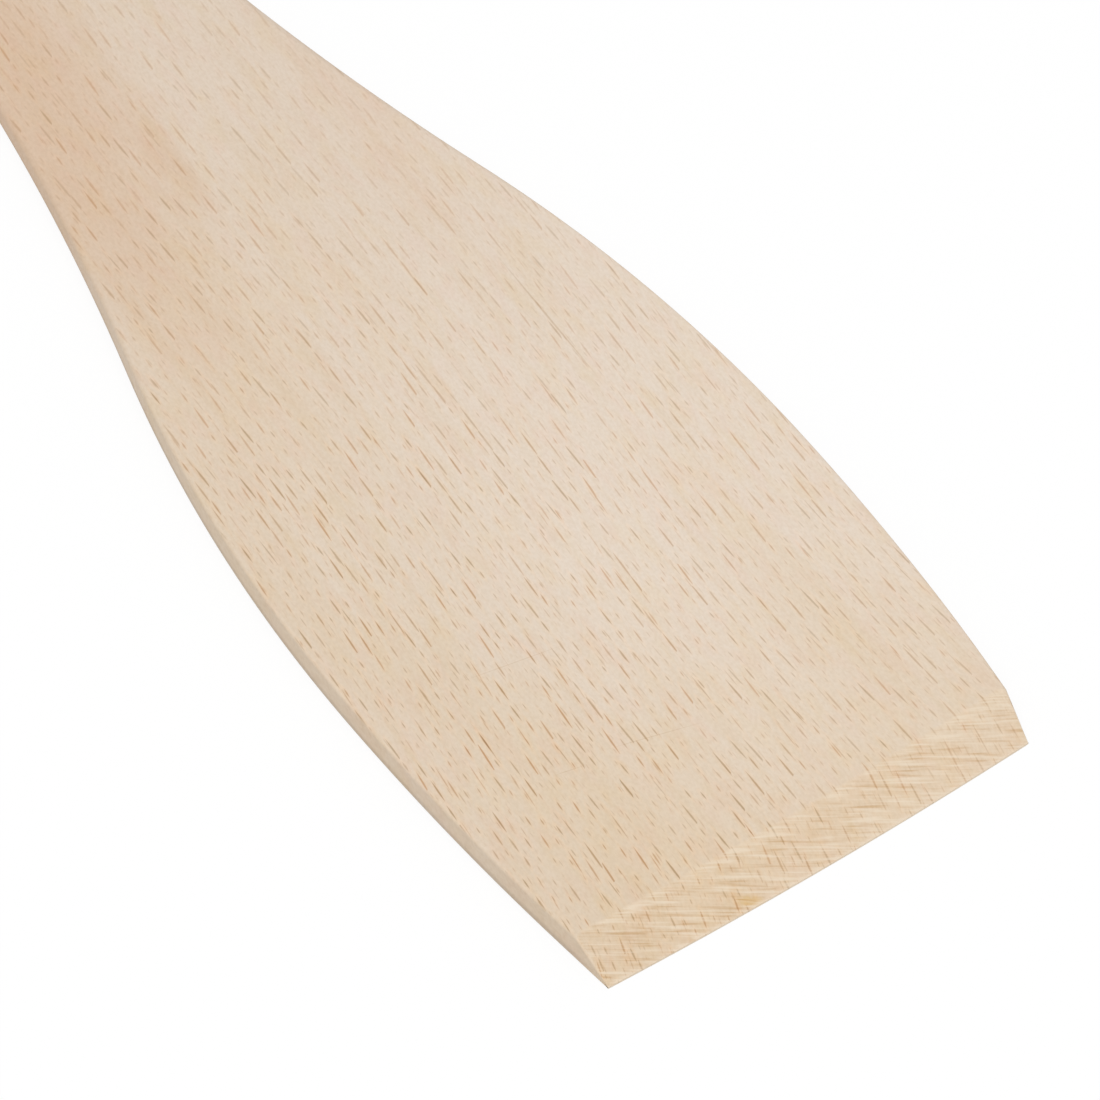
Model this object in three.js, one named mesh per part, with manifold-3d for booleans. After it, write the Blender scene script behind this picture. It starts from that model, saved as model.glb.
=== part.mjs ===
// A flat wooden kitchen spatula, cut from one beech board: a flared blade with a bevelled tip runs back
// through an ogee shoulder into a slim neck and a round-ended handle.
// Millimetres, +Z up. The underside lies on Z = 0 and +X points along the length, towards the tip. The
// origin is on the underside, halfway along the length and on the line of symmetry.

import * as THREE from 'three';
import { mergeVertices, toCreasedNormals } from 'three/addons/utils/BufferGeometryUtils.js';
import Module from 'manifold-3d';

// Board
const overallLength = 300;
const boardThickness = 4;
const edgeRound = 0.5; // radius of the eased edges, top and bottom

// Blade
const tipWidth = 54.2; // across the two sharp corners of the tip
const bladeWidth = 60; // at the widest place
const widestFromTip = 44.5;
const shoulderRadius = 195; // convex half of the ogee, behind the widest place
const neckRadius = 335; // concave half of the ogee, running into the neck

// Handle
const neckWidth = 22.7; // at the narrowest place
const handleWidth = 26; // where the round end begins

// Tip
const tipCrown = 0.6; // how far the middle of the tip stands ahead of its corners
const tipEdgeThickness = 0.3; // blunt edge left under the bevel
const bevelLength = 5; // measured back from the tip along the board

// Making
const trimAllowance = 4; // stock ahead of the tip, sawn off when the tip is shaped
const curveSegments = 16;
const edgeSegments = 4;
const creaseAngle = Math.PI / 6;

const tipX = overallLength / 2;
const buttX = -overallLength / 2;
const halfTip = tipWidth / 2;
const halfBlade = bladeWidth / 2;
const halfNeck = neckWidth / 2;
const halfHandle = handleWidth / 2;
const quarterTurn = Math.PI / 2;

const wasm = await Module();
wasm.setup();

// One side of the board's outline in plan, from ahead of the tip to the middle of the handle's round end.
function sideOutline() {
  const tipCorner = new THREE.Vector2(tipX - tipCrown, halfTip);
  const widest = new THREE.Vector2(tipX - widestFromTip, halfBlade);

  // From the widest place the edge bends in evenly to the tip's corner, and goes straight on from there.
  const frontControl = new THREE.Vector2((tipCorner.x + widest.x) / 2, halfBlade);
  const frontDirection = tipCorner.clone().sub(frontControl).normalize();
  const stockCorner = tipCorner.clone().addScaledVector(frontDirection, trimAllowance + edgeRound);

  // The ogee is two arcs that meet on a common tangent and leave the widest place and the neck lengthwise.
  const ogeeRadii = shoulderRadius + neckRadius;
  const ogeeTurn = Math.acos(1 - (halfBlade - halfNeck) / ogeeRadii);
  const neck = new THREE.Vector2(widest.x - ogeeRadii * Math.sin(ogeeTurn), halfNeck);

  // The handle swells gently from the neck to its round end.
  const handleEnd = new THREE.Vector2(buttX + halfHandle, halfHandle);
  const handleControl = new THREE.Vector2((neck.x + handleEnd.x) / 2, halfNeck);

  const curves = [
    new THREE.QuadraticBezierCurve(tipCorner, frontControl, widest),
    arc(widest.x, halfBlade - shoulderRadius, shoulderRadius, quarterTurn, quarterTurn + ogeeTurn, false),
    arc(neck.x, halfNeck + neckRadius, neckRadius, ogeeTurn - quarterTurn, -quarterTurn, true),
    new THREE.QuadraticBezierCurve(neck, handleControl, handleEnd),
    arc(handleEnd.x, 0, halfHandle, quarterTurn, Math.PI, false),
  ];

  // Each curve leaves its last point to the curve after it.
  const points = curves.flatMap((curve) => curve.getPoints(curveSegments).slice(0, -1));
  return [stockCorner, ...points, new THREE.Vector2(buttX, 0)];
}

function arc(x, y, radius, startAngle, endAngle, clockwise) {
  return new THREE.EllipseCurve(x, y, radius, radius, startAngle, endAngle, clockwise);
}

// The board sawn to its outline, a little long at the tip, with its edges eased all round.
function easedBoard() {
  const side = sideOutline();
  const otherSide = side.slice(0, -1).reverse().map((point) => new THREE.Vector2(point.x, -point.y));
  const geometry = new THREE.ExtrudeGeometry(new THREE.Shape([...side, ...otherSide]), {
    depth: boardThickness - 2 * edgeRound,
    bevelThickness: edgeRound,
    bevelSize: edgeRound,
    bevelOffset: -edgeRound,
    bevelSegments: edgeSegments,
  });
  return geometry.translate(0, 0, edgeRound);
}

// The space that is kept when the tip is sawn to its crown and ground to its bevel. Its front is the tip's
// shape, and its other sides lie clear of the board. The bevel's slope carries on above the board, so that
// the grind leaves a clean line across the top.
function tipShape() {
  const slopeLength = 2 * bevelLength;
  const slopeRise = 2 * (boardThickness - tipEdgeThickness);
  const clear = slopeLength + trimAllowance;
  const sideY = halfBlade + clear;
  const crownEndX = tipX - tipCrown * (halfBlade / halfTip) ** 2;

  const shape = new THREE.Shape();
  shape.moveTo(crownEndX, -sideY);
  shape.lineTo(crownEndX, -halfBlade);
  shape.quadraticCurveTo(2 * tipX - crownEndX, 0, crownEndX, halfBlade);
  shape.lineTo(crownEndX, sideY);
  shape.lineTo(buttX - clear, sideY);
  shape.lineTo(buttX - clear, -sideY);

  const geometry = new THREE.ExtrudeGeometry(shape, {
    depth: boardThickness + tipEdgeThickness,
    bevelThickness: slopeRise,
    bevelSize: slopeLength,
    bevelOffset: -slopeLength,
    bevelSegments: 1,
    curveSegments,
  });
  return geometry.translate(0, 0, -boardThickness);
}

function toSolid(geometry) {
  geometry.deleteAttribute('normal');
  geometry.deleteAttribute('uv');
  const merged = mergeVertices(geometry);
  const mesh = new wasm.Mesh({
    numProp: 3,
    vertProperties: merged.attributes.position.array,
    triVerts: new Uint32Array(merged.index.array),
  });
  return new wasm.Manifold(mesh);
}

function toGeometry(solid) {
  const { vertProperties, triVerts } = solid.getMesh();
  const geometry = new THREE.BufferGeometry();
  geometry.setAttribute('position', new THREE.BufferAttribute(vertProperties, 3));
  geometry.setIndex(new THREE.BufferAttribute(triVerts, 1));
  return toCreasedNormals(geometry, creaseAngle);
}

const beech = new THREE.MeshStandardMaterial({ color: 0xe2d0b5, roughness: 0.65, metalness: 0 });

const spatula = new THREE.Mesh(toGeometry(toSolid(easedBoard()).intersect(toSolid(tipShape()))), beech);
spatula.name = 'spatula';

const group = new THREE.Group();
group.add(spatula);

export default group;
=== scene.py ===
"""A flat kitchen spatula of pale beech, lying on a white studio floor.

The spatula is one piece of wood. It is drawn as an outline of arcs, raised to a board, ground to a bevel at
the tip and eased along its edges. Its beech finish is a solid pattern, so the flecks on the faces, the bevel
and the side walls are cuts through the same wood rays.

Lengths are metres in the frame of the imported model: the underside lies on Z = 0, +X points to the tip and
the origin is halfway along the length, on the line of symmetry. Lengths of the wood's figure are millimetres.
"""

import logging
import math
from dataclasses import dataclass, field
from enum import Enum

import bmesh
import bpy
from bmesh.types import BMEdge, BMFace, BMesh, BMVert
from mathutils import Color, Matrix, Vector, noise


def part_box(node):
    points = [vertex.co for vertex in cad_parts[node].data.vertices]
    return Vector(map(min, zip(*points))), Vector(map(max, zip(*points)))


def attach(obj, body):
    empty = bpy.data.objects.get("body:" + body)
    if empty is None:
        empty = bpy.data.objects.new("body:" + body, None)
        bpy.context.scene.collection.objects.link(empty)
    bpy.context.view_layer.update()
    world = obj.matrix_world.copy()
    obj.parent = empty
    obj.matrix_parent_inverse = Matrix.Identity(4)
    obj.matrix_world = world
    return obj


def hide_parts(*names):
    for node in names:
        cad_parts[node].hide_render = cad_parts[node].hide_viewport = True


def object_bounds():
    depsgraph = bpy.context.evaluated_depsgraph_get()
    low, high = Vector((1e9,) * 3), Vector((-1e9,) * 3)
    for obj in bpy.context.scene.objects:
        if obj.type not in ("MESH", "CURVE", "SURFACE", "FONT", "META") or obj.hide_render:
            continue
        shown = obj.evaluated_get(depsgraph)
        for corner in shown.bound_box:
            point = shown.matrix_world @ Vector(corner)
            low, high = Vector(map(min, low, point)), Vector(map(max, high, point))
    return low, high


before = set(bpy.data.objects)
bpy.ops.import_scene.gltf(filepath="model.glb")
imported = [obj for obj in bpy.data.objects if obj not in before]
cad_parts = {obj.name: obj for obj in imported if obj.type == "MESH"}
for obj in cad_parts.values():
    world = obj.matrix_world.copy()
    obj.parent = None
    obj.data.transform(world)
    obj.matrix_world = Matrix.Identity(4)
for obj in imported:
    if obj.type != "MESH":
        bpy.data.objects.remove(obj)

CAD_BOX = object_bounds()
MM = 0.001
PER_METRE = 1 / MM
TINY = 1e-6
ENDLESS = 1000.0  # in millimetres, far more than the board measures
UP = Vector((0, 0, 1))
TIPWARD = Vector((1, 0, 0))
SIDEWAYS = Vector((0, 1, 0))
WHITE = (1.0, 1.0, 1.0, 1.0)
SCREEN_LEVELS = 255
MIDDLE = 0.5  # of noise and of random draws, which run from 0 to 1
NOISE_LAYERS = 2.0
ROUND_PROFILE = 0.5
# also carries where the painted highlights of the pale lip and of the tip's edge go
RELIEF = "grind_relief"
MARK_PLACE = "grind_place"
UPRIGHT = "side_wall"

# Side and margin of the unwrapped map, in pixels
MAP_SIDE = 1024
MAP_MARGIN = 8

# Shares of a face's normal along an axis, which tell the faces of the mesh apart
LEANS_AHEAD = 0.05
FACES_AHEAD = 0.4
SQUARE_AHEAD = 0.9
FACES_UP = 0.3
LIES_FLAT = 0.7
LEANS_ASIDE = 0.3
FACES_ASIDE = 0.8

log = logging.getLogger("spatula")

Screen = tuple[int, int, int]
Colour = tuple[float, float, float, float]
Tint = tuple[float, float, float]
Size = tuple[float, float, float]
Socket = bpy.types.NodeSocket
Value = Socket | float
Triple = Socket | tuple[float, float, float]
Source = Socket | float | tuple[float, ...]


def from_srgb(screen: Screen) -> Colour:
    """Turns a screen colour, 0 to 255, into the linear colour that shaders take."""
    shares = tuple(level / SCREEN_LEVELS for level in screen)
    return opaque(Color(shares).from_srgb_to_scene_linear())


def opaque(tint: Tint | Color) -> Colour:
    """Gives a tint as a colour that shaders take."""
    return (*tint, 1.0)


class Graph:
    """A shader node tree, with short calls for the nodes that the finishes use."""

    def __init__(self, tree: bpy.types.NodeTree) -> None:
        """Starts an empty graph in a node tree."""
        self.tree = tree
        tree.nodes.clear()

    def node(self, kind: str, inputs: dict[str | int, Source] | None = None,
             **settings: object) -> bpy.types.Node:
        """Adds a node.

        Args:
            kind: The node's type name in Blender, without its ShaderNode prefix.
            inputs: What the node's inputs take, by their names or their places.
            **settings: The node's own settings.

        Returns:
            The new node.
        """
        node = self.tree.nodes.new("ShaderNode" + kind)
        for name, setting in settings.items():
            setattr(node, name, setting)
        for key, source in (inputs or {}).items():
            self.feed(node.inputs[key], source)
        return node

    def feed(self, socket: Socket, source: Source) -> None:
        """Links an output to an input, or sets the input to a constant.

        Args:
            socket: The input.
            source: The output or the constant.
        """
        if isinstance(source, Socket):
            self.tree.links.new(source, socket)
        else:
            socket.default_value = source

    def math(self, operation: str, *values: Value) -> Socket:
        """Works on one to three numbers, by the name of a Math node's operation."""
        return self.node("Math", dict(enumerate(values)), operation=operation).outputs["Value"]

    def vector(self, operation: str, *values: Triple) -> Socket:
        """Works on one to three vectors, by the name of a Vector Math node's operation."""
        node = self.node("VectorMath", dict(enumerate(values)), operation=operation)
        return node.outputs["Value" if operation == "LENGTH" else "Vector"]

    def split(self, vector: Socket) -> tuple[Socket, Socket, Socket]:
        """Takes a vector apart into its three numbers."""
        node = self.node("SeparateXYZ", {"Vector": vector})
        return node.outputs["X"], node.outputs["Y"], node.outputs["Z"]

    def join(self, x: Value, y: Value, z: Value) -> Socket:
        """Puts three numbers together as a vector."""
        return self.node("CombineXYZ", {"X": x, "Y": y, "Z": z}).outputs["Vector"]

    def ramp(self, value: Value, low: Value, high: Value, start: Value = 0.0, end: Value = 1.0) -> Socket:
        """Eases a number from one level to another.

        Args:
            value: The number to read.
            low: Where the change begins.
            high: Where the change is over.
            start: The level before the change.
            end: The level after the change.

        Returns:
            The eased number.
        """
        inputs = {"Value": value, "From Min": low, "From Max": high, "To Min": start, "To Max": end}
        return self.node("MapRange", inputs, interpolation_type="SMOOTHSTEP").outputs["Result"]

    def noise(self, place: Socket, spread: Size, seed: float, detail: float = NOISE_LAYERS) -> bpy.types.Node:
        """Adds cloudy noise.

        Args:
            place: Where the noise is read.
            spread: The size of a cloud along each direction, in the units of the place.
            seed: An offset that sets this noise apart from others.
            detail: How many finer layers the noise has.

        Returns:
            The noise's node.
        """
        inputs = {"Vector": self.vector("DIVIDE", place, spread), "W": seed, "Scale": 1.0, "Detail": detail}
        return self.node("TexNoise", inputs, noise_dimensions="4D")

    def mix(self, kind: str, colour: Triple | Colour, other: Triple | Colour, amount: Value) -> Socket:
        """Mixes two colours.

        Args:
            kind: The Mix node's way of mixing.
            colour: The colour to start from.
            other: The colour to mix in.
            amount: How much of the other colour shows, 0 to 1.

        Returns:
            The mixed colour.
        """
        node = self.node("Mix", data_type="RGBA", blend_type=kind)
        by_name = {socket.identifier: socket for socket in node.inputs}
        self.feed(by_name["Factor_Float"], amount)
        self.feed(by_name["A_Color"], colour)
        self.feed(by_name["B_Color"], other)
        return next(socket for socket in node.outputs if socket.identifier == "Result_Color")

    def stain(self, colour: Triple | Colour, tint: Triple | Colour, amount: Value) -> Socket:
        """Multiplies a colour by a tint, in part."""
        return self.mix("MULTIPLY", colour, tint, amount)

    def wander(self, place: Socket, spread: Size, reach: Size, seed: float) -> Socket:
        """Shifts a place to and fro by cloudy noise.

        Args:
            place: The place to shift.
            spread: The size of a cloud along each direction.
            reach: The width of the shifts along each direction.
            seed: An offset that sets this noise apart from others.

        Returns:
            The shifted place.
        """
        cloud = self.noise(place, spread, seed).outputs["Color"]
        shift = self.vector("MULTIPLY", self.vector("SUBTRACT", cloud, (MIDDLE,) * 3), reach)
        return self.vector("ADD", place, shift)


class Outline(Enum):
    """How the outline of a toned patch runs, as the size of the clouds that shift it and their reach."""

    STRAIGHT = ((1, 1, 1), (0, 0, 0))
    RAGGED = ((0.7, 0.7, 30), (0.7, 0.7, 0))
    LOOSE = ((26, 5, 30), (34, 7, 0))


@dataclass(frozen=True)
class ToneZone:
    """A patch of the wood that is toned apart from the rest, as an oval seen in plan.

    Attributes:
        name: What the patch is.
        centre: X and Y of its middle, in millimetres.
        half: Half its length and half its width, in millimetres.
        turn: How far its length is turned from +X towards +Y, in degrees.
        tint: The share of the pale wood's red, green and blue that is left there.
        fade: The share of the oval over which the tone fades out.
        outline: How its outline runs.
    """

    name: str
    centre: tuple[float, float]
    half: tuple[float, float]
    turn: float
    tint: Tint
    fade: float = 1.0
    outline: Outline = Outline.LOOSE


@dataclass(frozen=True)
class Streaks:
    """Soft streaks or clouds that follow the grain.

    Attributes:
        name: What the streaks are.
        spread: Their length, width and depth, in millimetres.
        shows: The noise level where they begin to show, and the level where they show in full.
        tint: The share of the pale wood's red, green and blue that is left there.
        seed: An offset that sets them apart from the others.
    """

    name: str
    spread: Size
    shows: tuple[float, float]
    tint: Tint
    seed: float


@dataclass(frozen=True)
class RayLayer:
    """Wood rays of one size. They run down through the board and show on its faces as short dashes.

    Attributes:
        name: What the rays are.
        pitch: Mean distance between rays along the grain and across it, in millimetres.
        half_length: Half the length of the shortest and of the longest dash, in millimetres.
        half_width: Half the width of the narrowest and of the widest dash, in millimetres.
        strength: How dark the faintest and the darkest dash are.
        seed: An offset that sets the layer apart from the others.
    """

    name: str
    pitch: tuple[float, float]
    half_length: tuple[float, float]
    half_width: tuple[float, float]
    strength: tuple[float, float]
    seed: float


TONE_ZONES = (
    ToneZone("duller neck", (6, 8), (60, 34), 0, (0.938, 0.915, 0.892), 1.4),
    ToneZone("brown heart at the neck", (-4, -11.5), (54, 10.5), -4.5, (0.945, 0.85, 0.77), 1.0),
    ToneZone("brown tongue", (32, -5.2), (7, 1.6), -4, (0.975, 0.935, 0.89), 1.7),
    ToneZone("brown lower side", (90, -30), (80, 24), 0, (0.955, 0.938, 0.906), 0.9),
    ToneZone("brown lower middle", (63, -13.5), (19, 7), -10, (1.0, 0.984, 0.956)),
    ToneZone("brown lower edge", (88, -26.5), (30, 4.5), -4, (0.983, 0.966, 0.936)),
    ToneZone("brown lower front", (110, -20), (15, 5), 14, (0.99, 0.98, 0.955)),
    ToneZone("brown front", (136, -15), (20, 8), 6, (1.0, 0.99, 0.965)),
    ToneZone("warm front", (160, -2), (34, 60), 0, (0.96, 0.929, 0.868), 1.3),
    ToneZone("pink upper band", (43, 17), (16, 3.4), -4, (0.993, 0.965, 0.947), 1.2),
    ToneZone("faint patch", (53, 0.5), (10, 3.6), 0, (1.0, 0.988, 0.967), 1.2),
    ToneZone("upper front band", (118, 18), (20, 2.4), 5, (0.993, 0.983, 0.96), 1.2),
    ToneZone("brown handle side", (-95, -9), (60, 7), -2, (0.945, 0.86, 0.79)),
    ToneZone("yellow bevel", (147.5, 3), (4, 9), 0, (0.99, 0.974, 0.945), 1.2),
    ToneZone("dark thread", (76.2, 16.9), (8, 0.1), -2, (0.84, 0.79, 0.72), 1.0, Outline.STRAIGHT),
    ToneZone("burnt spot", (149.3, -8.9), (1.3, 0.45), 66, (0.95, 0.85, 0.61), 1.3, Outline.RAGGED),
    ToneZone("burnt smear", (147.85, -10.05), (0.5, 0.5), 0, (0.965, 0.89, 0.79), 1.6, Outline.RAGGED),
    ToneZone("burnt stroke", (149.0, -9.3), (1.2, 0.06), 62, (0.86, 0.76, 0.63), 1.0, Outline.STRAIGHT),
    ToneZone("long scratch", (128.3, -6.1), (4.5, 0.05), 74, (0.9, 0.86, 0.8), 1.0, Outline.STRAIGHT),
    ToneZone("scratch's far end", (126.8, -16), (1.4, 0.05), 77, (0.9, 0.86, 0.8), 1.0, Outline.STRAIGHT),
    ToneZone("short scratch", (112.1, -12.6), (5, 0.05), 79, (0.91, 0.87, 0.82), 1.0, Outline.STRAIGHT),
)

FIBRES = Streaks("fibres", (0.5, 0.16, 0.5), (0.35, 0.75), (0.975, 0.965, 0.95), 19.6)

STREAKS = (
    Streaks("broad streaks", (22, 1.5, 6), (0.46, 0.7), (0.98, 0.966, 0.935), 1.3),
    Streaks("thin streaks", (7, 0.6, 3), (0.48, 0.72), (0.984, 0.972, 0.95), 4.1),
    Streaks("yellow clouds", (5, 2.2, 6), (0.48, 0.68), (0.998, 0.985, 0.945), 7.7),
    Streaks("pink clouds", (4.5, 1.8, 6), (0.48, 0.68), (1.0, 0.975, 0.975), 11.9),
    Streaks("mottling", (0.5, 0.32, 0.5), (0.35, 0.7), (0.955, 0.94, 0.915), 15.2),
    FIBRES,
)

RAYS = (
    RayLayer("rays", (3.15, 1.18), (0.48, 2.4), (0.064, 0.118), (0.36, 0.88), 0.0),
    RayLayer("lesser rays", (3.0, 0.8), (0.4, 1.1), (0.05, 0.08), (0.05, 0.5), 67.3),
    RayLayer("long rays", (9.5, 3.2), (1.3, 2.2), (0.055, 0.09), (0.25, 0.82), 211.7),
    RayLayer("fine rays", (2.3, 0.7), (0.3, 0.8), (0.04, 0.06), (0.0, 0.18), 163.1),
)


@dataclass(frozen=True)
class BeechFinish:
    """Pale beech, sanded and left bare.

    Attributes:
        slot: The record's material slot.
        pale: The screen colour of the plain wood.
        brown_ray: The tint of a dark ray.
        orange_ray: The tint of a reddish ray.
        margin: The tint of the warm margins along the rays.
        margin_width: The width of those margins, in millimetres.
        ridge_highlight: The screen colour of the painted highlight on the crests between the marks on the
            bevel.
        mark: The tint of the painted shade in the grooves of the marks on the bevel.
        mark_spread: The length and the width of the finest marks, in millimetres.
        mark_seed: An offset that sets the finest marks apart from other noise.
        mark_detail: How many finer layers these marks have.
        mark_share: How much these marks add to the height of the marks in the mesh.
        mark_levels: The height at which the painted shade of a mark begins to show, and the height at which
            it shows in full.
        ridge_highlight_levels: The height at which the painted highlight begins to show, and the height at
            which it shows in full.
        ridge_highlight_share: How much of the painted highlight's colour shows at most.
        ground: The tint of the bevel, where the grain is cut across.
        wall: The tint of the side walls, partly the side grain's own tone and partly painted shade.
        wall_turn: How upright a face stands where this tint begins to show, and where it shows in full.
        wall_rays: How much of the rays shows on the side walls.
        ray_turn: How upright a face stands where the rays begin to fade, and where they are faintest.
        base_shade: The tint of the painted shade low on the side walls, next to the floor.
        base_shade_height: The heights that this painted shade begins to fade at and ends at, in millimetres.
        base_shade_end: X where this painted shade begins to fade towards the tip, and where it has faded, in
            millimetres.
        base_shade_left: The share of this painted shade that is left at the tip.
        grain_slope: How far the grain runs towards -Y for each millimetre along +X.
        wave_height: Half the height of the grain's gentle wave, in millimetres.
        wave_length: The length of that wave over one radian, in millimetres.
        wave_start: X where the wave crosses its middle, in millimetres.
        fan_start: X from where the grain fans out towards the tip, in millimetres.
        fan: How fast the grain fans out.
        ray_lean: How far a ray leans along the grain for each millimetre of height, at Y of bold_to and at
            Y of bold_from.
        board_top: The height of the board's top, in millimetres.
        ray_tilt: How far a dash may turn from the grain, as a slope.
        ray_dent: How deep a ray lies in the relief, against the height of the fibres.
        row_shift: How far each row of rays is set on from the row beside it, as a share of the pitch.
        looseness: How far the rays stray from a regular grid, 0 to 1.
        length_power: The power that the draw of a dash's length is raised to, so that long ones are rare.
        size_weight: How far a dash's darkness follows its size and not a draw of its own, 0 to 1.
        redness: The power that the draw of a ray's hue is raised to, at X of bold_from and at X of bold_to.
        soft_rim: The width over which a dash fades at its rim, in millimetres.
        rim_outside: How far that fading reaches outside the dash's outline, as a share of the width.
        neck_breadth: How much broader the rays are at bold_from than at bold_to.
        neck_gaps: The share of the rays that is missing at bold_from.
        bevel_share: How bold the rays are on the bevel.
        bold_from: X and Y where the rays are palest, in millimetres.
        bold_to: X and Y where the rays are boldest, in millimetres.
        boldness: How bold the rays are at bold_from and at bold_to.
        roughness: The roughness of the smoothest and of the roughest fibres.
        fibre_levels: The noise levels of the smoothest and of the roughest fibres.
        fibre_detail: How many finer layers the fibres' relief has.
        bump_depth: The height that the fibres' relief stands for, in metres.
        zones: The toned patches.
        zone_seed: An offset that sets the clouds along the patches' outlines apart from other noise.
        streaks: The streaks and clouds.
        rays: The layers of wood rays.
    """

    slot: str = "beech"
    pale: Screen = (237, 222, 206)
    brown_ray: Tint = (0.55, 0.48, 0.36)
    orange_ray: Tint = (0.7, 0.5, 0.33)
    margin: Tint = (1.035, 1.0, 0.96)
    margin_width: float = 0.4
    # painted highlight: the crests of the grinding relief are drawn paler, as where light catches them
    ridge_highlight: Screen = (240, 224, 201)
    # painted shade: the grooves of the grinding marks are drawn darker, as where shade falls in them
    mark: Tint = (0.84, 0.74, 0.61)
    mark_spread: tuple[float, float] = (5.0, 0.24)
    mark_seed: float = 23.8
    mark_detail: float = 1.0
    mark_share: float = 4.6
    mark_levels: tuple[float, float] = (-0.1, -1.3)
    ridge_highlight_levels: tuple[float, float] = (0.0, 1.3)
    ridge_highlight_share: float = 0.6
    ground: Tint = (0.98, 0.95, 0.9)
    # partly the side grain's own tone, partly painted shade on the side walls
    wall: Tint = (0.985, 0.97, 0.945)
    wall_turn: tuple[float, float] = (0.5, 0.9)
    wall_rays: float = 0.1
    ray_turn: tuple[float, float] = (0.53, 0.95)
    # painted shade: darkens the side walls low down, next to the floor, where shade falls
    base_shade: Tint = (0.78, 0.77, 0.775)
    base_shade_height: tuple[float, float] = (0.6, 1.7)
    base_shade_end: tuple[float, float] = (143, 148)
    base_shade_left: float = 0.2
    grain_slope: float = 0.0524
    wave_height: float = 0.325
    wave_length: float = 14.3
    wave_start: float = 92
    fan_start: float = 80
    fan: float = 2.3e-5
    ray_lean: tuple[float, float] = (-1.6, -0.3)
    board_top: float = CAD_BOX[1][2] * PER_METRE
    ray_tilt: float = 0.08
    ray_dent: float = 0.6
    row_shift: float = 0.618
    looseness: float = 0.6
    length_power: float = 3.6
    size_weight: float = 0.5
    redness: tuple[float, float] = (1.0, 1.5)
    soft_rim: float = 0.07
    rim_outside: float = 0.5
    neck_breadth: float = 1.4
    neck_gaps: float = 0.3
    bevel_share: float = 0.85
    bold_from: tuple[float, float] = (10, 26)
    bold_to: tuple[float, float] = (120, -22)
    boldness: tuple[float, float] = (0.35, 1.08)
    roughness: tuple[float, float] = (0.56, 0.7)
    fibre_levels: tuple[float, float] = (0.25, 0.75)
    fibre_detail: float = 3.0
    bump_depth: float = 0.02 * MM
    zones: tuple[ToneZone, ...] = TONE_ZONES
    zone_seed: float = 2.4
    streaks: tuple[Streaks, ...] = STREAKS
    rays: tuple[RayLayer, ...] = RAYS

    def material(self) -> bpy.types.Material:
        """Makes the finish.

        Returns:
            The material, with its pattern on Object coordinates.
        """
        material = bpy.data.materials.new(self.slot)
        material.use_nodes = True
        graph = Graph(material.node_tree)
        place = graph.vector("MULTIPLY", graph.node("TexCoord").outputs["Object"], (PER_METRE,) * 3)
        grain = self.grain_place(graph, place)
        colour = self.toned(graph, place)
        colour = self.streaked(graph, colour, grain)
        colour, rays = self.with_rays(graph, colour, place, grain)
        colour = self.with_walls(graph, colour, place)
        colour, marks = self.with_marks(graph, colour)
        fibres = graph.noise(grain, FIBRES.spread, FIBRES.seed, self.fibre_detail).outputs["Fac"]
        relief = graph.math("ADD", graph.math("MULTIPLY_ADD", rays, -self.ray_dent, fibres), marks)
        bump = graph.node("Bump", {"Height": relief, "Distance": self.bump_depth, "Strength": 1.0})
        roughness = graph.ramp(fibres, *self.fibre_levels, *self.roughness)
        shader = graph.node("BsdfPrincipled", {"Base Color": colour, "Roughness": roughness,
                                               "Normal": bump.outputs["Normal"]})
        graph.node("OutputMaterial", {"Surface": shader.outputs["BSDF"]})
        return material

    def grain_place(self, graph: Graph, place: Socket) -> Socket:
        """Straightens the grain, so that a pattern drawn in straight lines follows it.

        Args:
            graph: The finish's graph.
            place: The place on the board, in millimetres.

        Returns:
            The place along the grain, across it and through the board, in millimetres.
        """
        x, y, z = graph.split(place)
        turn = graph.math("DIVIDE", graph.math("SUBTRACT", x, self.wave_start), self.wave_length)
        wave = graph.math("MULTIPLY", graph.math("SINE", turn), self.wave_height)
        ahead = graph.math("MAXIMUM", graph.math("SUBTRACT", x, self.fan_start), 0.0)
        spread = graph.math("MULTIPLY", graph.math("MULTIPLY", ahead, ahead), self.fan)
        across = graph.math("MULTIPLY_ADD", x, self.grain_slope, y)
        across = graph.math("ADD", across, wave)
        across = graph.math("SUBTRACT", across, graph.math("MULTIPLY", spread, y))
        return graph.join(x, across, z)

    def toned(self, graph: Graph, place: Socket) -> Socket:
        """Colours the plain wood with its toned patches.

        Args:
            graph: The finish's graph.
            place: The place on the board, in millimetres.

        Returns:
            The colour.
        """
        places = {outline: graph.wander(place, *outline.value, self.zone_seed) for outline in Outline}
        colour: Source = from_srgb(self.pale)
        for zone in self.zones:
            turn = (0, 0, math.radians(zone.turn))
            inputs = {"Vector": places[zone.outline], "Location": (*zone.centre, 0), "Rotation": turn,
                      "Scale": (*zone.half, ENDLESS)}
            oval = graph.node("Mapping", inputs, vector_type="TEXTURE", label=zone.name)
            reach = graph.vector("LENGTH", oval.outputs["Vector"])
            amount = graph.ramp(reach, 1 - zone.fade / 2, 1 + zone.fade / 2, 1.0, 0.0)
            colour = graph.stain(colour, opaque(zone.tint), amount)
        return colour

    def streaked(self, graph: Graph, colour: Socket, grain: Socket) -> Socket:
        """Adds the streaks and clouds that follow the grain.

        Args:
            graph: The finish's graph.
            colour: The toned wood.
            grain: The place along the grain, across it and through the board.

        Returns:
            The colour.
        """
        for streaks in self.streaks:
            clouds = graph.noise(grain, streaks.spread, streaks.seed)
            clouds.label = streaks.name
            amount = graph.ramp(clouds.outputs["Fac"], *streaks.shows)
            colour = graph.stain(colour, opaque(streaks.tint), amount)
        return colour

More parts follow.
